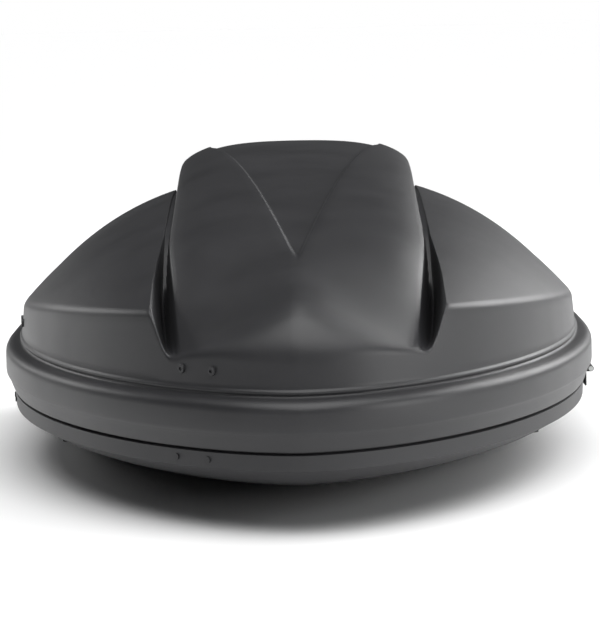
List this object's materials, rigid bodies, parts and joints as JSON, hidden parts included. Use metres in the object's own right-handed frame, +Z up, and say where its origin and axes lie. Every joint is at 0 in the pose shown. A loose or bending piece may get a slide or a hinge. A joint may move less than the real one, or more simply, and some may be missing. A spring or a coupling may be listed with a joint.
{
  "type": "car roof box",
  "caption": "Hard-shell car roof cargo box, pointed nose and raised centre hump, side-hinged lid, three-point lock, gas lifters and U-bolt bar clamps.",
  "frame": {"origin": "on the ground under the middle of the box, as it stands on its rubber feet", "axes": "+Z up, -Y towards the pointed nose, +X towards the hinged side"},
  "size_m": [0.9649, 1.6041, 0.48],
  "materials": {
    "shell_black": "textured black ABS, grained",
    "base_black": "textured black ABS, coarse grain",
    "moulded_black": "satin moulded black nylon",
    "seal_rubber": "matt rubber",
    "zinc_steel": "zinc plated",
    "black_steel": "black powder coat",
    "lifter_rod": "polished",
    "lock_metal": "satin",
    "cable_sheath": "PVC sheath"
  },
  "bodies": {
    "base": {"base_shell": "base_black", "rim_seal": "seal_rubber", "rubber_feet": "seal_rubber", "floor_rail_left": "zinc_steel", "floor_rail_right": "zinc_steel", "clamp_plate_front_left": "black_steel", "clamp_plate_front_right": "black_steel", "clamp_plate_rear_left": "black_steel", "clamp_plate_rear_right": "black_steel", "hinge_base_leaf_front": "black_steel", "hinge_base_leaf_middle": "black_steel", "hinge_base_leaf_rear": "black_steel", "hinge_pin_front": "zinc_steel", "hinge_pin_middle": "zinc_steel", "hinge_pin_rear": "zinc_steel", "lifter_base_bracket_front": "black_steel", "lifter_base_bracket_rear": "black_steel", "latch_guide_front": "moulded_black", "latch_guide_middle": "moulded_black", "latch_guide_rear": "moulded_black", "latch_rivets": "black_steel", "lock_case": "moulded_black", "latch_cable": "cable_sheath", "cable_anchors": "moulded_black"},
    "lid": {"lid_shell": "shell_black", "lid_stiffener_front": "moulded_black", "lid_stiffener_rear": "moulded_black", "striker_screws": "black_steel", "hinge_lid_leaf_front": "black_steel", "hinge_lid_leaf_middle": "black_steel", "hinge_lid_leaf_rear": "black_steel", "lifter_lid_bracket_front": "black_steel", "lifter_lid_bracket_rear": "black_steel", "striker_front": "zinc_steel", "striker_middle": "zinc_steel", "striker_rear": "zinc_steel"},
    "lock_bar": {"lock_bar": "black_steel", "cable_wire_middle": "zinc_steel"},
    "front_hook": {"front_latch_hook": "black_steel", "cable_wire_front": "zinc_steel"},
    "lock_cylinder": {"lock_cylinder": "lock_metal"},
    "lifter_tube_front": {"lifter_tube_front": "black_steel"},
    "lifter_rod_front": {"lifter_rod_front": "lifter_rod"},
    "lifter_tube_rear": {"lifter_tube_rear": "black_steel"},
    "lifter_rod_rear": {"lifter_rod_rear": "lifter_rod"},
    "clamp_ubolt_front_left": {"clamp_ubolt_front_left": "zinc_steel"},
    "clamp_knob_front_left_a": {"clamp_knob_front_left_a": "moulded_black"},
    "clamp_knob_front_left_b": {"clamp_knob_front_left_b": "moulded_black"},
    "clamp_ubolt_front_right": {"clamp_ubolt_front_right": "zinc_steel"},
    "clamp_knob_front_right_a": {"clamp_knob_front_right_a": "moulded_black"},
    "clamp_knob_front_right_b": {"clamp_knob_front_right_b": "moulded_black"},
    "clamp_ubolt_rear_left": {"clamp_ubolt_rear_left": "zinc_steel"},
    "clamp_knob_rear_left_a": {"clamp_knob_rear_left_a": "moulded_black"},
    "clamp_knob_rear_left_b": {"clamp_knob_rear_left_b": "moulded_black"},
    "clamp_ubolt_rear_right": {"clamp_ubolt_rear_right": "zinc_steel"},
    "clamp_knob_rear_right_a": {"clamp_knob_rear_right_a": "moulded_black"},
    "clamp_knob_rear_right_b": {"clamp_knob_rear_right_b": "moulded_black"}
  },
  "joints": [
    {"name": "lid_hinge", "type": "hinge", "parent": "base", "child": "lid", "pos_m": [0.476, 0.26, 0.122], "axis": [0, 1, 0], "range_deg": [0, 50]},
    {"name": "lock_slide", "type": "slide", "parent": "base", "child": "lock_bar", "axis": [0, 1, 0], "range_m": [0, 0.014]},
    {"name": "front_hook_slide", "type": "slide", "parent": "base", "child": "front_hook", "axis": [-0.7543, 0.6565, 0], "range_m": [0, 0.014]},
    {"name": "lock_turn", "type": "hinge", "parent": "base", "child": "lock_cylinder", "pos_m": [-0.45, 0.22, 0.103], "axis": [-1, 0, 0], "range_deg": [0, 90]},
    {"name": "lifter_turn_front", "type": "hinge", "parent": "base", "child": "lifter_tube_front", "pos_m": [0.32196, -0.06, 0.06287], "axis": [0, 1, 0], "range_deg": [0, 25.5]},
    {"name": "lifter_stroke_front", "type": "slide", "parent": "lifter_tube_front", "child": "lifter_rod_front", "axis": [0.225, 0, 0.9744], "range_m": [0, 0.09883]},
    {"name": "lifter_turn_rear", "type": "hinge", "parent": "base", "child": "lifter_tube_rear", "pos_m": [0.32196, 0.56, 0.06287], "axis": [0, 1, 0], "range_deg": [0, 25.5]},
    {"name": "lifter_stroke_rear", "type": "slide", "parent": "lifter_tube_rear", "child": "lifter_rod_rear", "axis": [0.225, 0, 0.9744], "range_m": [0, 0.09883]},
    {"name": "clamp_drop_front_left", "type": "slide", "parent": "base", "child": "clamp_ubolt_front_left", "axis": [0, 0, -1], "range_m": [0, 0.03]},
    {"name": "knob_turn_front_left_a", "type": "hinge", "parent": "base", "child": "clamp_knob_front_left_a", "pos_m": [-0.23, 0.02, 0.036], "axis": [0, 0, -1], "range_deg": [-5, 1805]},
    {"name": "knob_turn_front_left_b", "type": "hinge", "parent": "base", "child": "clamp_knob_front_left_b", "pos_m": [-0.23, 0.1, 0.036], "axis": [0, 0, -1], "range_deg": [-5, 1805]},
    {"name": "clamp_drop_front_right", "type": "slide", "parent": "base", "child": "clamp_ubolt_front_right", "axis": [0, 0, -1], "range_m": [0, 0.03]},
    {"name": "knob_turn_front_right_a", "type": "hinge", "parent": "base", "child": "clamp_knob_front_right_a", "pos_m": [0.23, 0.02, 0.036], "axis": [0, 0, -1], "range_deg": [-5, 1805]},
    {"name": "knob_turn_front_right_b", "type": "hinge", "parent": "base", "child": "clamp_knob_front_right_b", "pos_m": [0.23, 0.1, 0.036], "axis": [0, 0, -1], "range_deg": [-5, 1805]},
    {"name": "clamp_drop_rear_left", "type": "slide", "parent": "base", "child": "clamp_ubolt_rear_left", "axis": [0, 0, -1], "range_m": [0, 0.03]},
    {"name": "knob_turn_rear_left_a", "type": "hinge", "parent": "base", "child": "clamp_knob_rear_left_a", "pos_m": [-0.23, 0.52, 0.036], "axis": [0, 0, -1], "range_deg": [-5, 1805]},
    {"name": "knob_turn_rear_left_b", "type": "hinge", "parent": "base", "child": "clamp_knob_rear_left_b", "pos_m": [-0.23, 0.6, 0.036], "axis": [0, 0, -1], "range_deg": [-5, 1805]},
    {"name": "clamp_drop_rear_right", "type": "slide", "parent": "base", "child": "clamp_ubolt_rear_right", "axis": [0, 0, -1], "range_m": [0, 0.03]},
    {"name": "knob_turn_rear_right_a", "type": "hinge", "parent": "base", "child": "clamp_knob_rear_right_a", "pos_m": [0.23, 0.52, 0.036], "axis": [0, 0, -1], "range_deg": [-5, 1805]},
    {"name": "knob_turn_rear_right_b", "type": "hinge", "parent": "base", "child": "clamp_knob_rear_right_b", "pos_m": [0.23, 0.6, 0.036], "axis": [0, 0, -1], "range_deg": [-5, 1805]}
  ],
  "couplings": [
    {"joint": "front_hook_slide", "follows": "lock_slide", "ratio": 1},
    {"joint": "lock_turn", "follows": "lock_slide", "rad_per_m": 112.2},
    {"joint": "lifter_turn_front", "follows": "lid_hinge", "ratio": 0.5},
    {"joint": "lifter_stroke_front", "follows": "lid_hinge", "m_per_rad": 0.11268},
    {"joint": "lifter_turn_rear", "follows": "lid_hinge", "ratio": 0.5},
    {"joint": "lifter_stroke_rear", "follows": "lid_hinge", "m_per_rad": 0.11268},
    {"joint": "knob_turn_front_left_a", "follows": "clamp_drop_front_left", "rad_per_m": 1047.2},
    {"joint": "knob_turn_front_left_b", "follows": "clamp_drop_front_left", "rad_per_m": 1047.2},
    {"joint": "knob_turn_front_right_a", "follows": "clamp_drop_front_right", "rad_per_m": 1047.2},
    {"joint": "knob_turn_front_right_b", "follows": "clamp_drop_front_right", "rad_per_m": 1047.2},
    {"joint": "knob_turn_rear_left_a", "follows": "clamp_drop_rear_left", "rad_per_m": 1047.2},
    {"joint": "knob_turn_rear_left_b", "follows": "clamp_drop_rear_left", "rad_per_m": 1047.2},
    {"joint": "knob_turn_rear_right_a", "follows": "clamp_drop_rear_right", "rad_per_m": 1047.2},
    {"joint": "knob_turn_rear_right_b", "follows": "clamp_drop_rear_right", "rad_per_m": 1047.2}
  ]
}
